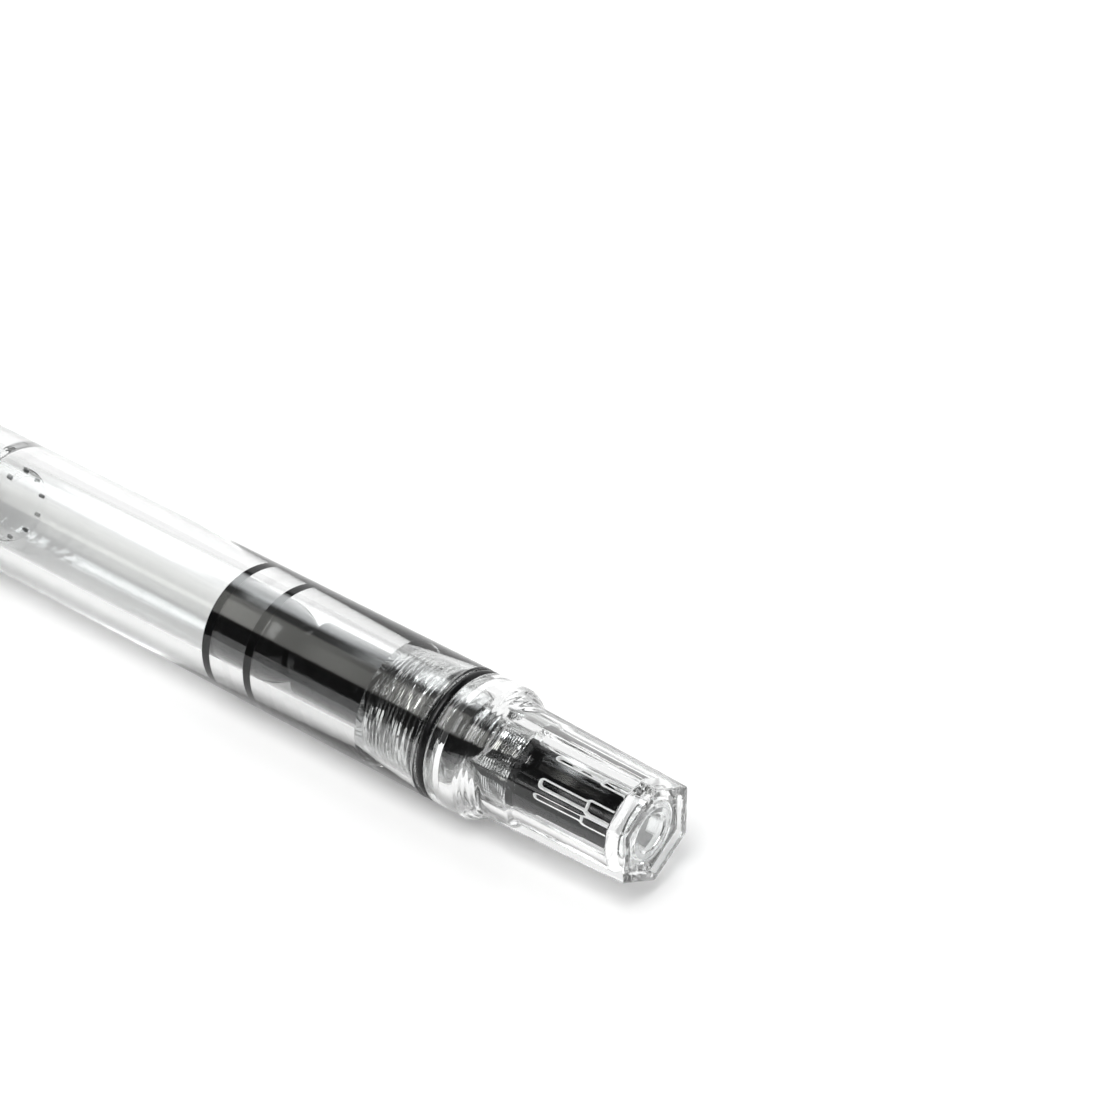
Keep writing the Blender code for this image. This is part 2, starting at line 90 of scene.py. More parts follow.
def thread_stations(start, step, count, root, crest, lead, first, last, phase=0.0):
    """Rings along a thread, from a starting distance on in equal steps."""
    stations = []
    for i in range(count):
        distance = start + i * step
        stations.append((thread(root, crest, lead, distance, first, last, phase=phase), distance))
    return stations


def rounded(points, closed=False, parts=4):
    """Profile with its corners eased. A point is (radius, distance) or (radius, distance, reach)."""
    done = []
    last = len(points) - 1
    for i, point in enumerate(points):
        reach = point[2] if len(point) > 2 else 0
        if not reach or (not closed and i in (0, last)):
            done.append(point[:2])
            continue
        here = Vector(point[:2])
        before = Vector(points[i - 1][:2]) - here
        after = Vector(points[(i + 1) % len(points)][:2]) - here
        start = here + before.normalized() * min(reach, 0.49 * before.length)
        end = here + after.normalized() * min(reach, 0.49 * after.length)
        for step in range(parts + 1):
            t = step / parts
            bend = start * (1 - t) ** 2 + here * 2 * t * (1 - t) + end * t**2
            done.append((bend.x, bend.y))
    return done


def shape_to_object(shape, name, sharp=32):
    """Object from a shape, with edges sharper than an angle in degrees kept crisp."""
    bmesh.ops.recalc_face_normals(shape, faces=shape.faces)
    mesh = bpy.data.meshes.new(name)
    shape.to_mesh(mesh)
    shape.free()
    mesh.shade_smooth()
    mesh.set_sharp_from_angle(angle=math.radians(sharp))
    obj = bpy.data.objects.new(name, mesh)
    bpy.context.scene.collection.objects.link(obj)
    return obj


def loft_shape(stations, turns=ROUND, closed=False):
    """Surface through rings about the axis. A station is (radius or radius(turn), distance)."""
    shape = bmesh.new()
    rings = []
    for radius, distance in stations:
        if not callable(radius) and radius == 0:
            rings.append([shape.verts.new(spot(distance, 0, 0))])
            continue
        sized = radius if callable(radius) else (lambda turn, fixed=radius: fixed)
        rings.append([shape.verts.new(spot(distance, sized(turn), turn)) for turn in turns])
    pairs = list(zip(rings, rings[1:])) + ([(rings[-1], rings[0])] if closed else [])
    count = len(turns)
    for one, two in pairs:
        for i in range(count):
            j = (i + 1) % count
            if len(one) == 1:
                shape.faces.new((one[0], two[i], two[j]))
            elif len(two) == 1:
                shape.faces.new((one[i], two[0], one[j]))
            else:
                shape.faces.new((one[i], two[i], two[j], one[j]))
    return shape


def loft(name, stations, turns=ROUND, closed=False, sharp=32):
    """Object made of rings about the axis."""
    return shape_to_object(loft_shape(stations, turns, closed), name, sharp)


def radial_prism(name, outline, low, high, turn):
    """Solid under an outline of (side, distance), between two radii, standing out at a turn."""
    shape = bmesh.new()
    out = Vector((0, math.cos(turn), math.sin(turn)))
    along = Vector((0, -math.sin(turn), math.cos(turn)))
    rings = []
    for radius in (low, high):
        ring = []
        for side, distance in outline:
            corner = Vector(((TAIL - distance), 0, AXIS_HEIGHT)) + out * radius + along * side
            ring.append(shape.verts.new(corner * MM))
        rings.append(ring)
    count = len(outline)
    for i in range(count):
        j = (i + 1) % count
        shape.faces.new((rings[0][i], rings[0][j], rings[1][j], rings[1][i]))
    shape.faces.new(rings[0])
    shape.faces.new(rings[1])
    bmesh.ops.triangulate(shape, faces=[f for f in shape.faces if len(f.verts) > 4])
    return shape_to_object(shape, name)


def cut(obj, tools):
    """Takes several tools away from an object."""
    for tool in tools:
        step = obj.modifiers.new(tool.name, "BOOLEAN")
        step.operation = "DIFFERENCE"
        step.solver = "EXACT"
        step.object = tool
    bpy.context.view_layer.update()
    view = bpy.context.evaluated_depsgraph_get()
    mesh = bpy.data.meshes.new_from_object(obj.evaluated_get(view))
    obj.modifiers.clear()
    old = obj.data
    obj.data = mesh
    bpy.data.meshes.remove(old)
    for tool in tools:
        bpy.data.objects.remove(tool, do_unlink=True)
    mesh.shade_smooth()
    mesh.set_sharp_from_angle(angle=math.radians(32))


def place(obj, node, body, material, stands_for=True):
    """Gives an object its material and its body. Details don't stand for the CAD piece."""
    obj.data.materials.clear()
    obj.data.materials.append(material)
    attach(obj, body)
    if stands_for:
        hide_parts(node)


# ---- Materials.
def surface(name, colour, rough, ior=1.49, clear=False, metal=0.0, grain=4000.0, grain_depth=0.0,
            stretch=(1, 1, 1), tint=0.15, rough_scale=700.0):
    """Principled material whose colour, roughness and relief vary with noise in object space."""
    mat = bpy.data.materials.new(name)
    mat.use_nodes = True
    tree = mat.node_tree
    shader = tree.nodes["Principled BSDF"]
    shader.inputs["IOR"].default_value = ior
    shader.inputs["Metallic"].default_value = metal
    if clear:
        shader.inputs["Transmission Weight"].default_value = 1.0

    def add(kind, **values):
        node = tree.nodes.new(kind)
        for key, value in values.items():
            node.inputs[key].default_value = value
        return node

    def link(source, out, target, into):
        tree.links.new(source.outputs[out], target.inputs[into])

    where = add("ShaderNodeTexCoord")
    fit = add("ShaderNodeMapping", Scale=stretch)
    link(where, "Object", fit, "Vector")
    cloud = add("ShaderNodeTexNoise", Scale=rough_scale, Detail=4.0, Roughness=0.6)
    link(fit, "Vector", cloud, "Vector")
    spread = add("ShaderNodeMapRange")
    spread.inputs["From Min"].default_value = 0.3
    spread.inputs["From Max"].default_value = 0.7
    spread.inputs["To Min"].default_value = rough[0]
    spread.inputs["To Max"].default_value = rough[1]
    link(cloud, "Fac", spread, "Value")
    link(spread, "Result", shader, "Roughness")
    ramp = add("ShaderNodeValToRGB")
    ramp.color_ramp.elements[0].position = 0.3
    ramp.color_ramp.elements[1].position = 0.7
    ramp.color_ramp.elements[0].color = (*[c * (1 - tint) for c in colour], 1)
    ramp.color_ramp.elements[1].color = (*colour, 1)
    link(cloud, "Fac", ramp, "Fac")
    link(ramp, "Color", shader, "Base Color")
    if grain_depth:
        fine = add("ShaderNodeTexNoise", Scale=grain, Detail=3.0)
        link(fit, "Vector", fine, "Vector")
        relief = add("ShaderNodeBump", Strength=grain_depth, Distance=0.00002)
        link(fine, "Fac", relief, "Height")
        link(relief, "Normal", shader, "Normal")
    return mat


def glow(material, strength):
    """White light given off by a material."""
    shader = material.node_tree.nodes["Principled BSDF"]
    shader.inputs["Emission Color"].default_value = (1.0, 1.0, 1.0, 1.0)
    shader.inputs["Emission Strength"].default_value = strength


CLEAR_COLOUR = (0.985, 0.99, 0.988)
CLEAR = dict(clear=True, tint=0.012, rough_scale=160.0, grain=450.0)
ACRYLIC = dict(CLEAR, ior=1.49)
# The housing bends light far less than real plastic would, so that its end doesn't turn dark.
FAINT = dict(CLEAR, ior=1.06)
PAINTED_EDGE_GLOW = 0.25
FLOOR_GLOW = 0.22
barrel_plastic = surface("clear_barrel", (0.91, 0.915, 0.913), (0.0, 0.02), grain_depth=0.012,
                         **ACRYLIC)
knob_plastic = surface("clear_knob", CLEAR_COLOUR, (0.0, 0.02), grain_depth=0.015, **ACRYLIC)
cap_plastic = surface("clear_cap", CLEAR_COLOUR, (0.0, 0.03), grain_depth=0.012, **ACRYLIC)
guide_plastic = surface("clear_guide", (0.97, 0.975, 0.97), (0.01, 0.05), grain_depth=0.02,
                        **ACRYLIC)
liner_plastic = surface("clear_liner", (0.95, 0.96, 0.96), (0.04, 0.12), grain_depth=0.02,
                        **ACRYLIC)
housing_plastic = surface("clear_housing", (0.985, 0.985, 0.985), (0.03, 0.10), grain_depth=0.02,
                          **FAINT)
# Grey for the small discs of painted shade set deep in the housing's pits.
pit_shade = surface("pit_shade", (0.30, 0.31, 0.31), (0.4, 0.6), ior=1.3, tint=0.5,
                    rough_scale=4000.0, grain_depth=0.1)
disc_plastic = surface("clear_disc", (0.94, 0.95, 0.95), (0.02, 0.08), grain_depth=0.02,
                       **ACRYLIC)
# Slot frames and bars: light plastic that also gives off a little white light, a painted glow that brightens
# the slot edges.
glowing_key_plastic = surface("slot_edge", (0.95, 0.955, 0.95), (0.12, 0.3), ior=1.5, tint=0.2,
                      rough_scale=2500.0, grain_depth=0.15)
glow(glowing_key_plastic, PAINTED_EDGE_GLOW)
black_plastic = surface("black_plastic", (0.004, 0.004, 0.0045), (0.09, 0.12), ior=1.36, tint=0.4,
                        rough_scale=1500.0, grain=4000.0, grain_depth=0.01)
sleeve_plastic = surface("sleeve_black", (0.003, 0.003, 0.0035), (0.09, 0.14), ior=1.2, tint=0.4,
                         rough_scale=1500.0, grain=4000.0, grain_depth=0.02)
black_satin = surface("black_satin", (0.010, 0.010, 0.011), (0.1, 0.22), ior=1.5, tint=0.4,
                      rough_scale=1200.0, grain=2600.0, grain_depth=0.05)
pressed_rubber = surface("pressed_rubber", (0.006, 0.006, 0.0065), (0.3, 0.45), ior=1.08, tint=0.35,
                         rough_scale=2200.0, grain=9000.0, grain_depth=0.15)
feed_plastic = surface("feed_plastic", (0.014, 0.014, 0.015), (0.3, 0.5), ior=1.5, tint=0.4,
                       rough_scale=1500.0, grain=6000.0, grain_depth=0.2)
rubber = surface("black_rubber", (0.006, 0.006, 0.0065), (0.2, 0.32), ior=1.35, tint=0.35,
                 rough_scale=2200.0, grain=9000.0, grain_depth=0.25)
washer_plastic = surface("washer_plastic", (0.03, 0.03, 0.032), (0.45, 0.65), ior=1.48, tint=0.3,
                         rough_scale=1800.0, grain=7000.0, grain_depth=0.3)
steel = surface("polished_steel", (0.63, 0.62, 0.60), (0.08, 0.2), ior=1.5, metal=1.0, tint=0.12,
                stretch=(0.06, 1, 1), rough_scale=1800.0, grain=9000.0, grain_depth=0.08)
disc_metal = surface("satin_metal", (0.58, 0.58, 0.6), (0.2, 0.34), ior=1.5, metal=1.0, tint=0.15,
                     rough_scale=2500.0, grain=9000.0, grain_depth=0.15)

# ---- Barrel. Its outside thread and the cap ring's inside thread share a lead.
CAP_LEAD = 1.5
barrel_tail = rounded([
    (5.8, 22.0, 0.05), (5.95, 21.9, 0.05), (6.25, 21.9, 0.08), (6.35, 22.07, 0.1), (6.35, 60.0),
    (6.35, 87.7, 0.2), (6.1, 88.0, 0.1), (5.35, 88.1, 0.3), (4.95, 88.8, 0.3), (4.95, 89.1)])
barrel_thread = thread_stations(
    start=89.15, step=0.08, count=57, root=4.95, crest=5.24, lead=CAP_LEAD, first=89.2, last=93.5)
barrel_front = rounded([
    (4.95, 93.8), (5.15, 94.4, 0.3), (5.1, 98.0), (5.0, 102.0), (4.97, 105.0), (4.97, 107.0),
    (5.1, 108.7), (5.16, 109.5, 0.3), (5.12, 110.3, 0.3), (4.85, 110.8, 0.2), (4.35, 110.8, 0.08),
    (4.35, 108.7), (3.9, 108.7, 0.06), (3.9, 95.0), (3.9, 80.9, 0.3), (4.25, 79.4, 0.3),
    (4.25, 60.0), (4.25, 29.2, 0.06), (5.62, 29.1, 0.04), (5.62, 22.52), (5.8, 22.47)])
barrel = loft("barrel_shell", barrel_tail + barrel_thread + barrel_front, closed=True)
place(barrel, "barrel", "barrel", barrel_plastic)

# ---- Nib housing, with a ring of small pits in its end.
CROWN_TAIL = 77.4
PIT_RING, PIT_R = 3.45, 0.23
PIT_TURNS = [math.radians(28.5 + 36 * i) for i in range(10)]
PIT_SIDES = 12
housing = loft("nib_housing_tube", rounded([
    (3.02, CROWN_TAIL, 0.04), (3.75, CROWN_TAIL, 0.04), (3.75, 78.0), (3.75, 90.0),
    (3.75, 105.6, 0.05), (3.25, 105.6, 0.05), (3.25, 106.6, 0.05), (3.75, 106.6, 0.05),
    (3.75, 108.9, 0.05), (4.2, 108.9, 0.08), (4.2, 110.2, 0.1), (3.9, 110.5, 0.1),
    (3.22, 110.5, 0.1), (3.02, 110.3, 0.1), (3.02, 90.0)],
    closed=True), closed=True)
pits = []
for i, turn in enumerate(PIT_TURNS):
    shape = bmesh.new()
    ends = []
    for distance in (CROWN_TAIL - 0.5, CROWN_TAIL + 0.7):
        ring = []
        for k in range(PIT_SIDES):
            around = TAU * k / PIT_SIDES
            across = PIT_RING * math.cos(turn) + PIT_R * math.cos(around)
            up = AXIS_HEIGHT + PIT_RING * math.sin(turn) + PIT_R * math.sin(around)
            ring.append(shape.verts.new(((TAIL - distance) * MM, across * MM, up * MM)))
        ends.append(ring)
    for k in range(PIT_SIDES):
        shape.faces.new((ends[0][k], ends[0][k - 1], ends[1][k - 1], ends[1][k]))
    shape.faces.new(ends[0])
    shape.faces.new(ends[1])
    pits.append(shape_to_object(shape, f"pit_{i}"))
cut(housing, pits)
place(housing, "nib_housing", "barrel", housing_plastic)
# Grey discs set deep in each pit are painted shade: they stand in for the dark bottoms of the pits.
for i, turn in enumerate(PIT_TURNS):
    painted_shade_disc = loft(f"pit_painted_shade_{i + 1}", rounded([
        (0, CROWN_TAIL + 0.2), (0.2, CROWN_TAIL + 0.2, 0.04), (0.21, CROWN_TAIL + 0.68, 0.04),
        (0, CROWN_TAIL + 0.68)]), turns=ROUND[::6])
    for vert in painted_shade_disc.data.vertices:
        vert.co.y += PIT_RING * MM * math.cos(turn)
        vert.co.z += PIT_RING * MM * math.sin(turn)
    place(painted_shade_disc, "nib_housing", "barrel", pit_shade, stands_for=False)


def o_ring(name, centre, section, distance, node, body, squash=1.0):
    """Rubber ring of round section; a squash below 1 would flatten it radially."""
    profile = []
    for i in range(16):
        turn = TAU * i / 16
        radius = centre + section * math.cos(turn) * squash
        profile.append((radius, distance + section * math.sin(turn)))
    place(loft(name, profile, closed=True, sharp=60), node, body, rubber)


o_ring("housing_seal_ring", 3.56, 0.25, 106.1, "housing_o_ring", "barrel")
o_ring("guide_seal_ring", 5.2, 0.36, 22.82, "guide_o_ring", "barrel")
o_ring("knob_seal_ring", 5.86, 0.46, 21.41, "knob_o_ring", "knob_seat")

# ---- Feed with its comb of fins.
FIN_COUNT, FIN_STEP, FIN_TAPER, FIN_DEPTH = 12, 0.9, 0.075, 0.6
FIRST_FIN = 112.15
FEED_R = 2.5
CHANNEL_HALF = 0.16
feed_profile = [
    (0, 82.5), (1.1, 82.5, 0.1), (1.3, 83.0, 0.1), (1.3, 86.5), (2.3, 87.2, 0.1), (FEED_R, 87.6, 0.1),
    (FEED_R, 100.0), (FEED_R, 111.7, 0.05)]
for i in range(FIN_COUNT):
    at = FIRST_FIN + FIN_STEP * i
    crest = FEED_R - FIN_TAPER * i
    feed_profile += [(crest - FIN_DEPTH, at - 0.35, 0.04), (crest - FIN_DEPTH, at, 0.04),
                     (crest, at + 0.03, 0.04), (crest, at + 0.42, 0.04)]
feed_profile += [(1.45, 123.0, 0.2), (0.9, 125.2, 0.2), (0.5, 126.0, 0.1), (0, 126.05)]
feed = loft("feed_comb", rounded(feed_profile, parts=2), turns=ROUND[::2])
channel_outline = [
    (-CHANNEL_HALF, 80), (CHANNEL_HALF, 80), (CHANNEL_HALF, 111.6), (-CHANNEL_HALF, 111.6)]
channel = radial_prism("channel", channel_outline, 1.7, 4.0, math.pi / 2)
cut(feed, [channel])
place(feed, "feed", "barrel", feed_plastic)

# ---- Nib: rolled sheet with shoulders, breather hole, slit and tipping.
NIB_TAIL = 96.0
NIB_SHELL = [(NIB_TAIL, 2.92), (113.5, 2.92), (118.0, 2.6), (124.0, 1.95), (129.2, 1.1), (130.7, 0.82)]
NIB_SIDE = [(NIB_TAIL, 2.55), (110.0, 2.55), (112.5, 2.86), (116.0, 2.5), (121.0, 1.75), (128.0, 0.72),
            (130.7, 0.34)]
BREATHER, BREATHER_R, SLIT = 120.4, 0.5, 0.02
NIB_SHEET, NIB_EDGE = 0.26, 0.03
TIP_RAISE = 0.62
EASED_SPAN = 8


def between(table, at):
    """Value at a distance, read off a table. Short spans are eased, long ones are straight."""
    for (left, low), (right, high) in zip(table, table[1:]):
        if at <= right:
            t = max(0.0, (at - left) / (right - left))
            t = t * t * (3 - 2 * t) if right - left < EASED_SPAN else t
            return low + (high - low) * t
    return table[-1][1]


def nib_shape():
    """Two halves of a curved sheet, with more stations around the breather hole."""
    shape = bmesh.new()
    stations = [NIB_TAIL + 0.6 * i for i in range(39)]
    stations += [BREATHER - BREATHER_R * math.cos(math.pi * i / 12) for i in range(13)]
    stations += [121.2 + 0.5 * i for i in range(19)] + [130.7]
    stations = sorted(
        s for s in stations
        if not (118.9 < s < 121.0) or abs(s - BREATHER) <= BREATHER_R + 1e-6)
    for hand in (-1, 1):
        rows = []
        for distance in stations:
            radius = between(NIB_SHELL, distance)
            edge = min(between(NIB_SIDE, distance), radius * 0.98)
            inner = math.sqrt(max(BREATHER_R**2 - (distance - BREATHER) ** 2, 0))
            if distance > BREATHER:
                inner = max(inner, SLIT)
            start, end = math.asin(inner / radius), math.asin(edge / radius)
            row = []
            for i in range(13):
                t = i / 12
                turn = math.pi / 2 + hand * (start + (end - start) * t)
                row.append(shape.verts.new(spot(distance, radius, turn)))
            rows.append(row)
        for one, two in zip(rows, rows[1:]):
            for i in range(12):
                shape.faces.new((one[i], one[i + 1], two[i + 1], two[i]))
    bmesh.ops.remove_doubles(shape, verts=shape.verts, dist=0.000004)
    return shape


nib = shape_to_object(nib_shape(), "nib_blade", 60)
solid = nib.modifiers.new("sheet", "SOLIDIFY")
solid.thickness = NIB_SHEET * MM
solid.offset = 1.0 if nib.data.polygons[0].normal.dot(Vector((0, 0, 1))) < 0 else -1.0
edges = nib.modifiers.new("edges", "BEVEL")
edges.width = NIB_EDGE * MM
edges.segments = 2
edges.limit_method = "ANGLE"
place(nib, "nib", "barrel", steel)
tip = loft("nib_tipping", [(0, 130.15)] + [
    (0.36 * math.sin(math.pi * i / 12), 130.55 - 0.4 * math.cos(math.pi * i / 12)) for i in range(1, 12)
] + [(0, 130.95)], turns=ROUND[::5])
for vert in tip.data.vertices:
    vert.co.z += TIP_RAISE * MM
place(tip, "nib", "barrel", steel, stands_for=False)

# ---- Piston guide: fine thread on the outside, stub with the knob's thread.
guide_tail = rounded([
    (3.45, 20.4), (3.45, 13.2, 0.05), (3.75, 13.2, 0.08), (3.94, 13.4, 0.08), (3.94, 13.5)])
stub_thread = thread_stations(
    start=13.52, step=0.0325, count=118, root=3.92, crest=4.06, lead=0.26, first=13.5, last=17.3)
guide_middle = rounded([
    (3.9, 17.4), (3.9, 19.77, 0.3), (4.3, 20.47, 0.2), (5.3, 20.47, 0.1), (5.3, 21.99, 0.05),
    (5.7, 21.99, 0.05), (5.7, 22.39, 0.05), (5.45, 22.44, 0.03), (4.8, 22.44, 0.05),
    (4.8, 23.19, 0.05), (5.45, 23.22, 0.05), (5.45, 23.5, 0.05), (5.25, 23.6, 0.05),
    (5.25, 23.8, 0.05), (5.45, 23.9, 0.05), (5.45, 24.2, 0.05), (5.25, 24.3, 0.05)])
fine_thread = thread_stations(
    start=24.36, step=0.045, count=96, root=5.22, crest=5.44, lead=0.43, first=24.35, last=28.65)
guide_front = rounded([
    (5.2, 28.7), (5.2, 28.8, 0.08), (5.05, 28.9, 0.1), (2.82, 28.9), (2.82, 28.1),
    (4.05, 28.05, 0.1), (4.05, 21.1), (3.45, 20.5)])
guide = loft("piston_guide_bush", guide_tail + stub_thread + guide_middle + fine_thread + guide_front,
             closed=True)
place(guide, "piston_guide", "barrel", guide_plastic)

# ---- Piston: seal with two lips, its retaining plug and the rod.
seal = loft("piston_seal_cup", rounded([
    (2.3, 40.35, 0.05), (2.8, 40.35, 0.2), (3.3, 41.0, 0.3), (3.6, 41.5, 0.3), (3.85, 42.1, 0.3),
    (4.08, 42.45, 0.1), (4.1, 43.0), (4.1, 46.0), (4.1, 48.5, 0.1), (3.75, 48.5, 0.1),
    (3.6, 48.25, 0.1), (3.4, 47.45, 0.05), (2.9, 47.45, 0.05), (2.9, 46.15, 0.05),
    (2.3, 46.15, 0.05)], closed=True), closed=True)
place(seal, "piston_seal", "piston", black_plastic)
LIP_IN, LIP_OUT = 4.05, 4.28
for number, low, high in ((1, 42.45, 43.35), (2, 47.55, 48.48)):
    lip = loft(f"seal_lip_{number}", rounded([
        (LIP_IN, low, 0.02), (LIP_OUT, low, 0.03), (LIP_OUT, high, 0.03), (LIP_IN, high, 0.02)],
        closed=True), closed=True)
    place(lip, "piston_seal", "piston", pressed_rubber, stands_for=False)
retainer = loft("seal_plug", rounded([
    (0, 46.25), (2.8, 46.25, 0.1), (2.8, 47.55, 0.05), (3.1, 47.6, 0.05), (3.1, 47.9, 0.1), (2.8, 48.2, 0.1),
    (1.2, 48.3, 0.1), (1.0, 48.1, 0.1), (0, 48.1)]))
place(retainer, "seal_retainer", "piston", black_satin)


ROD_ROOT, ROD_CREST, ROD_LEAD = 2.25, 2.64, 5.15
ROD_FLAT = 1.75
ROD_THREAD_START, ROD_THREAD_END = 4.2, 28.5


def rod_ring(radius, distance):
    """A plain radius, or the rod's thread when that is None, cut by the rod's two flats."""
    ridge = thread(ROD_ROOT, ROD_CREST, ROD_LEAD, distance, ROD_THREAD_START, ROD_THREAD_END,
                   starts=2)

    def sized(turn):
        flat = ROD_FLAT / max(abs(math.cos(turn)), 0.001)
        return min(ridge(turn) if radius is None else radius, flat)

    return sized


rod_stations = [(0, 3.0), (1.6, 3.0), (rod_ring(2.0, 3.3), 3.3), (rod_ring(ROD_ROOT, 3.6), 3.6)]
for i in range(98):
    distance = ROD_THREAD_START + 0.25 * i
    rod_stations.append((rod_ring(None, distance), distance))
rod_stations += [(rod_ring(ROD_ROOT, 29.05), 29.05)]
rod_stations += rounded([
    (3.3, 29.2), (3.6, 29.25, 0.2), (3.85, 29.7, 0.2), (3.85, 33.0), (3.85, 38.08, 0.04),
    (3.75, 38.2, 0.04), (2.5, 38.2, 0.05), (2.5, 40.15, 0.1), (2.15, 40.25, 0.05),
    (2.15, 45.75, 0.1), (1.8, 46.1, 0.1), (0, 46.1)])
rod = loft("piston_rod_screw", rod_stations)
place(rod, "piston_rod", "piston", black_plastic)

# ---- Drive sleeve with six slots open at the tail.
SLEEVE_R, SLEEVE_IN = 3.15, 2.82
sleeve = loft("drive_sleeve_tube", rounded([
    (SLEEVE_IN, 2.7, 0.05), (3.0, 2.7, 0.05), (3.2, 2.85, 0.1), (3.2, 5.0), (SLEEVE_R, 5.4),
    (SLEEVE_R, 11.3, 0.04), (SLEEVE_R - 0.05, 11.34), (SLEEVE_R - 0.05, 11.46),
    (SLEEVE_R, 11.5, 0.04), (SLEEVE_R, 20.0), (SLEEVE_R, 24.7, 0.2), (3.78, 24.95, 0.2),
    (3.87, 25.15, 0.1), (3.87, 27.7, 0.1), (3.8, 27.85, 0.1), (2.7, 27.85, 0.1),
    (2.7, 23.3, 0.1), (SLEEVE_IN, 23.2)], closed=True), closed=True)
SLOT_FRONT, SLOT_STEP = 10.6, 5.4
SLOT_HALF, SLOT_WIDE_HALF = 0.61, 0.86
SLOT_FRAME = 0.18
SLOT_TURN = 88.5


def slot_outline(inset, tail):
    """Outline of a slot with a round front end and a wider tail, drawn in by an inset."""
    half, wide = SLOT_HALF - inset, SLOT_WIDE_HALF - inset
    side = [(wide, tail), (wide, SLOT_STEP - 0.3 - inset), (wide - 0.05, SLOT_STEP - 0.15 - inset),
            (half + 0.03, SLOT_STEP + 0.1), (half, SLOT_STEP + 0.25)]
    for i in range(9):
        turn = math.pi / 2 * i / 8
        front = SLOT_FRONT - SLOT_HALF * 0.8 + (SLOT_HALF * 0.8 - inset) * math.sin(turn)
        side.append((half * math.cos(turn) ** 0.7, front))
    side[-1] = (0.0, SLOT_FRONT - inset)
    return side + [(-s, d) for s, d in reversed(side[:-1])]


# The bars across the slots at their step and the frames round the slots are light plastic with a painted
# glow.
BAR_SIDE = SLOT_HALF - 0.02
BAR_OUTLINE = [(BAR_SIDE, 5.3), (BAR_SIDE, 5.5), (-BAR_SIDE, 5.5), (-BAR_SIDE, 5.3)]
slots, frames = [], []
for i in range(6):
    turn = math.radians(SLOT_TURN + 60 * i)
    slots.append(radial_prism(f"slot_{i}", slot_outline(0, 1.5), 2.2, 4.2, turn))
    frame_piece = radial_prism(
        f"slot_frame_{i}", slot_outline(0.005, 2.72), 2.86, SLEEVE_R + 0.02, turn)
    inner = radial_prism(f"frame_inner_{i}", slot_outline(SLOT_FRAME, 2.0), 2.0, 4.2, turn)
    cut(frame_piece, [inner])
    frames.append(frame_piece)
    bar = radial_prism(f"slot_bar_{i + 1}", BAR_OUTLINE, 2.9, SLEEVE_R - 0.03, turn)
    place(bar, "drive_sleeve", "knob", glowing_key_plastic, stands_for=False)
cut(sleeve, slots)
place(sleeve, "drive_sleeve", "knob", sleeve_plastic)
for i, piece in enumerate(frames):
    piece.name = f"slot_key_{i + 1}"
    place(piece, "drive_sleeve", "knob", glowing_key_plastic, stands_for=False)

# ---- Knob: six-sided grip blending into a round skirt.
KNOB_FACE = math.radians(60)
CORNER_TO_FACE = math.cos(math.pi / 6)
GRIP_TAIL_CORNER, GRIP_FRONT_CORNER, GRIP_FRONT = 5.08, 5.6, 17.0
SKIRT_START, SKIRT_R = 15.2, 6.35
BLEND = 0.3
RECESS = 4.15 * CORNER_TO_FACE


def knob_inradius(distance):
    corner = GRIP_TAIL_CORNER + (GRIP_FRONT_CORNER - GRIP_TAIL_CORNER) * distance / GRIP_FRONT
    return corner * CORNER_TO_FACE


def knob_hex(distance, inset=0.0):
    return hexagon(knob_inradius(distance) - inset, 0.32, KNOB_FACE)


SKIRT = [(SKIRT_START, 4.6), (15.9, 5.1), (16.4, 5.45), (16.75, 5.8), (17.1, 6.15), (17.5, 6.33),
         (17.8, SKIRT_R)]


def knob_outer(distance):
    """Grip and skirt, whichever stands out further, with a soft blend where they meet."""
    grip = knob_hex(min(distance, GRIP_FRONT))
    if distance <= SKIRT_START:
        return grip
    skirt = between(SKIRT, distance)

    def radius(turn):
        one, two = grip(turn), skirt
        near = max(0.0, BLEND - abs(one - two)) / BLEND
        return min(max(one, two) + near * near * BLEND / 4, SKIRT_R)

    return radius


knob_path = [(0, 1.35), (2.95, 1.35), (3.0, 1.3), (3.0, 0.62), (3.05, 0.57), (3.12, 0.55)]
recess = hexagon(RECESS, 0.3, KNOB_FACE)
recess_low = hexagon(RECESS - 0.06, 0.28, KNOB_FACE)
recess_rim = hexagon(RECESS + 0.06, 0.3, KNOB_FACE)
knob_path += [(recess_low, 0.55), (recess, 0.49), (recess, 0.08), (recess_rim, 0.0)]
knob_path += [(knob_hex(0, 0.16), 0.0), (knob_hex(0, 0.1), 0.02), (knob_hex(0, 0.045), 0.065),
              (knob_hex(0, 0.01), 0.13)]
knob_path += [(knob_hex(d), d) for d in (0.22, 2, 4, 6, 8, 10, 12, 14, 15)]
for i in range(28):
    distance = SKIRT_START + 0.1 * i
    knob_path.append((knob_outer(distance), distance))
knob_path += rounded([
    (6.35, 18.0), (6.35, 20.72, 0.12), (6.2, 20.92, 0.1), (5.5, 20.92, 0.06), (5.5, 20.02, 0.05),
    (4.32, 19.87, 0.05), (4.32, 13.1, 0.25), (3.65, 12.4, 0.2), (3.65, 8.0), (3.65, 2.3, 0.15), (0, 2.3)])
knob = loft("filling_knob", knob_path, turns=HEX_TURNS)
place(knob, "piston_knob", "knob", knob_plastic)
disc = loft("knob_end_button", rounded([
    (0, 0.62), (1.75, 0.62, 0.05), (1.95, 0.45, 0.05), (2.45, 0.42, 0.08), (2.65, 0.62, 0.05),
    (2.9, 0.66, 0.05), (2.9, 1.25, 0.05), (0, 1.25)]))
place(disc, "knob_end_disc", "knob", disc_plastic)

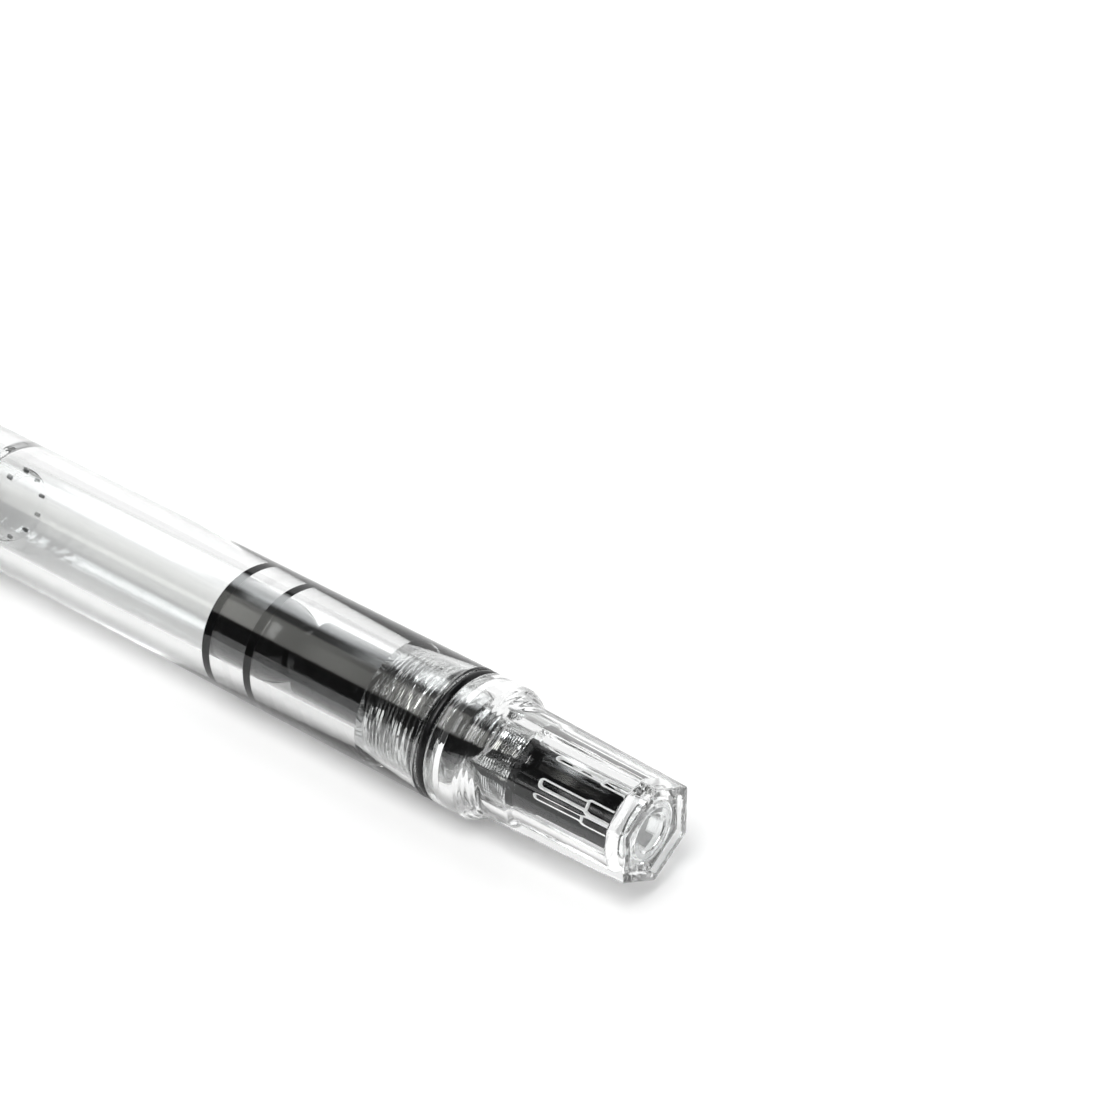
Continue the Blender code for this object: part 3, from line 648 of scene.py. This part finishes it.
# ---- Cap: liner, thread ring, six-sided shell, clip, washer, finial.
liner = loft("cap_liner_cup", rounded([
    (0, 133.9), (4.4, 133.9, 0.3), (4.85, 133.5, 0.3), (4.85, 120.0), (4.85, 111.3, 0.1), (5.6, 111.3, 0.1),
    (5.8, 111.7, 0.1), (5.8, 120.0), (5.8, 134.5, 0.2), (5.5, 134.9, 0.2), (0, 134.9)]))
place(liner, "inner_cap", "cap_liner", liner_plastic)
ring_path = rounded([
    (5.58, 88.5, 0.05), (5.86, 88.5, 0.08), (5.86, 91.0), (5.86, 94.2, 0.08), (5.58, 94.2, 0.05)])
ring_path += thread_stations(
    start=94.1, step=-0.08, count=69, root=5.56, crest=5.40, lead=CAP_LEAD, first=88.9, last=93.9,
    phase=math.pi)
thread_ring = loft("cap_thread_insert", ring_path, closed=True)
place(thread_ring, "cap_thread_ring", "cap_ring", housing_plastic)

CAP_FACE = math.radians(90)


def cap_hex(inset=0.0, rounding=0.52):
    return hexagon(6.45 - inset, rounding, CAP_FACE)


cap_path = [(5.97, 88.36), (6.0, 88.32), (6.05, 88.3), (cap_hex(0.16), 88.3),
            (cap_hex(0.08), 88.32), (cap_hex(0.02), 88.4), (cap_hex(), 88.5)]
cap_path += [(cap_hex(), d) for d in (100.0, 112.0, 124.0, 136.7)]
cap_path += [(cap_hex(0.03), 136.86), (cap_hex(0.1), 136.96), (cap_hex(0.2), 137.0)]
cap_path += rounded([
    (2.1, 137.0, 0.1), (2.0, 136.9, 0.05), (2.0, 135.2, 0.05), (2.1, 135.1, 0.05), (5.55, 135.1, 0.15),
    (5.95, 134.8, 0.2), (5.95, 120.0), (5.95, 100.0)])
cap = loft("cap_shell", cap_path, turns=HEX_TURNS, closed=True)
place(cap, "cap_body", "cap", cap_plastic)
washer = loft("clip_spacer", rounded([
    (2.15, 137.1, 0.04), (5.9, 137.1, 0.08), (5.9, 137.45, 0.08), (2.15, 137.45, 0.04)],
    closed=True), closed=True)
place(washer, "clip_washer", "cap", washer_plastic)

CLIP_OUTLINE = [
    (5.0, 137.6), (7.5, 137.6), (8.0, 137.45), (8.3, 137.1), (8.45, 136.4), (8.42, 132.0),
    (8.2, 120.0), (7.95, 110.0), (7.75, 104.0), (7.5, 102.4), (7.15, 101.2), (6.8, 100.2),
    (6.62, 99.6), (6.56, 98.9), (6.7, 98.2), (7.05, 97.4), (7.45, 96.75), (7.75, 96.6),
    (8.05, 96.75), (7.9, 97.3), (7.6, 98.0), (7.47, 98.7), (7.5, 99.5), (7.7, 100.4),
    (7.95, 101.2), (8.25, 102.4), (8.45, 103.8), (8.7, 112.0), (8.9, 120.0), (9.08, 130.0),
    (9.15, 136.4), (9.1, 137.1), (8.85, 137.7), (8.45, 138.05), (8.0, 138.2), (5.0, 138.2)]
CLIP_HALF, CLIP_NARROWING = 1.5, 0.45
CLIP_TAPER_START, CLIP_TAPER_LENGTH = 112.0, 15.0


def clip_shape():
    """Side outline drawn through the clip's width, narrower towards its tip."""
    shape = bmesh.new()
    rows = []
    for part in (-1, -0.94, -0.6, 0, 0.6, 0.94, 1):
        row = []
        for height, distance in CLIP_OUTLINE:
            taper = max(0.0, min(1.0, (CLIP_TAPER_START - distance) / CLIP_TAPER_LENGTH))
            half = CLIP_HALF - CLIP_NARROWING * taper
            row.append(shape.verts.new((
                (TAIL - distance) * MM, part * half * MM, (AXIS_HEIGHT + height) * MM)))
        rows.append(row)
    count = len(CLIP_OUTLINE)
    for one, two in zip(rows, rows[1:]):
        for i in range(count):
            j = (i + 1) % count
            shape.faces.new((one[i], one[j], two[j], two[i]))
    for row in (rows[0], rows[-1]):
        shape.faces.new(row)
    bmesh.ops.recalc_face_normals(shape, faces=shape.faces)
    rims = [e for e in shape.edges
            if len(e.link_faces) == 2 and any(len(f.verts) > 4 for f in e.link_faces)]
    bmesh.ops.bevel(shape, geom=rims, offset=0.14 * MM, segments=3, profile=0.5, affect="EDGES")
    bmesh.ops.triangulate(shape, faces=[f for f in shape.faces if len(f.verts) > 4])
    return shape


clip = shape_to_object(clip_shape(), "clip_spring", 40)
plate = loft("clip_plate", rounded([
    (2.15, 137.55, 0.03), (5.9, 137.55, 0.1), (5.9, 138.25, 0.1), (2.15, 138.25, 0.03)],
    closed=True), closed=True)
place(clip, "cap_clip", "cap", steel)
place(plate, "cap_clip", "cap", steel, stands_for=False)


FINIAL_LOW, FINIAL_TOP = 138.35, 141.5
FINIAL_LOW_CORNER, FINIAL_TOP_CORNER = 6.3, 5.2


def finial_hex(distance, inset=0.0):
    narrowing = FINIAL_TOP_CORNER - FINIAL_LOW_CORNER
    corner = FINIAL_LOW_CORNER + narrowing * (distance - FINIAL_LOW) / (FINIAL_TOP - FINIAL_LOW)
    return hexagon(corner * CORNER_TO_FACE - inset, 0.4, CAP_FACE)


finial_path = rounded([(0, 135.4), (1.7, 135.4, 0.1), (1.85, 135.6, 0.1), (1.85, FINIAL_LOW, 0.05)])
for distance, inset in ((FINIAL_LOW, 0.2), (138.4, 0.08), (138.5, 0.02), (138.6, 0), (140.0, 0),
                        (141.25, 0), (141.4, 0.05), (FINIAL_TOP, 0.18)):
    finial_path.append((finial_hex(distance, inset), distance))
finial_path += rounded([
    (3.3, FINIAL_TOP, 0.05), (3.2, 141.4, 0.05), (3.2, 140.72, 0.05), (0, 140.7)])
finial = loft("cap_finial_gem", finial_path, turns=HEX_TURNS)
place(finial, "cap_finial", "cap", cap_plastic)
button = loft("finial_button", rounded([
    (0, 140.8), (3.1, 140.8, 0.05), (3.1, 141.2, 0.08), (2.9, 141.3, 0.05), (2.3, 141.3, 0.05),
    (2.15, 141.2, 0.05), (1.9, 141.2, 0.05), (1.75, 141.3, 0.05), (0, 141.33)]))
place(button, "finial_disc", "cap", disc_metal)

# ---- Floor, studio light and camera. The floor glows a little, so that shadows stay light.
FLOOR_HALF_SIDE = 4.0
BACKDROP = (0.97, 0.97, 0.97, 1)
CAMERA_LENS = 108.32
CAMERA_PLACE = (0.200596, -0.173320, 0.187872)
CAMERA_LOOKS = (-0.51773, 0.63413, -0.57432)
shape = bmesh.new()
bmesh.ops.create_grid(shape, x_segments=1, y_segments=1, size=FLOOR_HALF_SIDE)
floor_mesh = bpy.data.meshes.new("studio_floor")
shape.to_mesh(floor_mesh)
shape.free()
floor = bpy.data.objects.new("studio_floor", floor_mesh)
bpy.context.scene.collection.objects.link(floor)
floor.data.materials.append(
    surface("floor_paper", (0.86, 0.86, 0.86), (0.7, 0.8), ior=1.3, tint=0.0, rough_scale=30.0))
glow(floor.data.materials[0], FLOOR_GLOW)

world = bpy.data.worlds.new("studio")
bpy.context.scene.world = world
world.use_nodes = True
tree = world.node_tree
background = tree.nodes["Background"]


def wire(kind, operation, *values):
    """Maths node. A value is a number or the output of another node."""
    node = tree.nodes.new(kind)
    node.operation = operation
    for i, value in enumerate(values):
        if hasattr(value, "is_output"):
            tree.links.new(value, node.inputs[i])
        else:
            node.inputs[i].default_value = value
    return node.outputs[0]


def band(angle, low, high, soft_low, soft_high):
    """1 between two angles in degrees, with soft edges."""
    rise = tree.nodes.new("ShaderNodeMapRange")
    rise.interpolation_type = "SMOOTHSTEP"
    tree.links.new(angle, rise.inputs["Value"])
    rise.inputs["From Min"].default_value = math.radians(low - soft_low)
    rise.inputs["From Max"].default_value = math.radians(low + soft_low)
    fall = tree.nodes.new("ShaderNodeMapRange")
    fall.interpolation_type = "SMOOTHSTEP"
    tree.links.new(angle, fall.inputs["Value"])
    fall.inputs["From Min"].default_value = math.radians(high - soft_high)
    fall.inputs["From Max"].default_value = math.radians(high + soft_high)
    fall.inputs["To Min"].default_value = 1.0
    fall.inputs["To Max"].default_value = 0.0
    return wire("ShaderNodeMath", "MULTIPLY", rise.outputs["Result"], fall.outputs["Result"])


direction = tree.nodes.new("ShaderNodeTexCoord")
split = tree.nodes.new("ShaderNodeSeparateXYZ")
tree.links.new(direction.outputs["Generated"], split.inputs[0])
east, north, high = split.outputs
across = wire("ShaderNodeMath", "ARCTAN2", high, north)
lengthwise = wire("ShaderNodeMath", "ARCSINE", east)

# Light boxes, given by directions in degrees: (from, to, softness of each edge) across the pen,
# counted from +Y over the top; (from, to, softness) along it, counted from straight across
# towards +X, the tail; brightness; colour.
BOXES = [
    ((-8, 47, 3, 4), (-86, 86, 4), 0.95, (1.0, 1.0, 1.0)),
    ((56, 84, 6, 6), (-40, -29.5, 2.2), 8.5, (0.96, 0.99, 1.0)),
    ((84, 99, 6, 2), (-44, -29.5, 2.2), 0.5, (1.0, 1.0, 1.0)),
    ((100, 139, 3, 3), (-44, -29.5, 2.2), 2.2, (1.0, 1.0, 0.95)),
    ((98, 136, 6, 6), (-10, 18, 4), 7.6, (1.0, 1.0, 1.0)),
]
SURROUND = (0.05, 0.05, 0.05)
total = None
for (low, top, soft_low, soft_top), (front, back, soft), power, colour in BOXES:
    mask = wire("ShaderNodeMath", "MULTIPLY", band(across, low, top, soft_low, soft_top),
                band(lengthwise, front, back, soft, soft))
    lit = tree.nodes.new("ShaderNodeVectorMath")
    lit.operation = "SCALE"
    lit.inputs[0].default_value = [c * power for c in colour]
    tree.links.new(mask, lit.inputs["Scale"])
    if total is None:
        total = lit.outputs[0]
    else:
        total = wire("ShaderNodeVectorMath", "ADD", total, lit.outputs[0])
total = wire("ShaderNodeVectorMath", "ADD", total, SURROUND)
tree.links.new(total, background.inputs["Color"])
background.inputs["Strength"].default_value = 1.0
backdrop = tree.nodes.new("ShaderNodeBackground")
backdrop.inputs["Color"].default_value = BACKDROP
choose = tree.nodes.new("ShaderNodeMixShader")
seen = tree.nodes.new("ShaderNodeLightPath")
tree.links.new(seen.outputs["Is Camera Ray"], choose.inputs[0])
tree.links.new(background.outputs[0], choose.inputs[1])
tree.links.new(backdrop.outputs[0], choose.inputs[2])
tree.links.new(choose.outputs[0], tree.nodes["World Output"].inputs["Surface"])

camera_data = bpy.data.cameras.new("camera")
camera_data.lens = CAMERA_LENS
camera_data.sensor_width = 36
camera_data.clip_start = 0.01
camera = bpy.data.objects.new("camera", camera_data)
bpy.context.scene.collection.objects.link(camera)
camera.location = CAMERA_PLACE
camera.rotation_euler = Vector(CAMERA_LOOKS).to_track_quat("-Z", "Y").to_euler()
bpy.context.scene.camera = camera

view = bpy.context.scene.view_settings
view.view_transform = "Standard"
view.look = "None"
cycles = bpy.context.scene.cycles
cycles.max_bounces = 32
cycles.transmission_bounces = 28
cycles.transparent_max_bounces = 16
cycles.glossy_bounces = 12
cycles.diffuse_bounces = 6
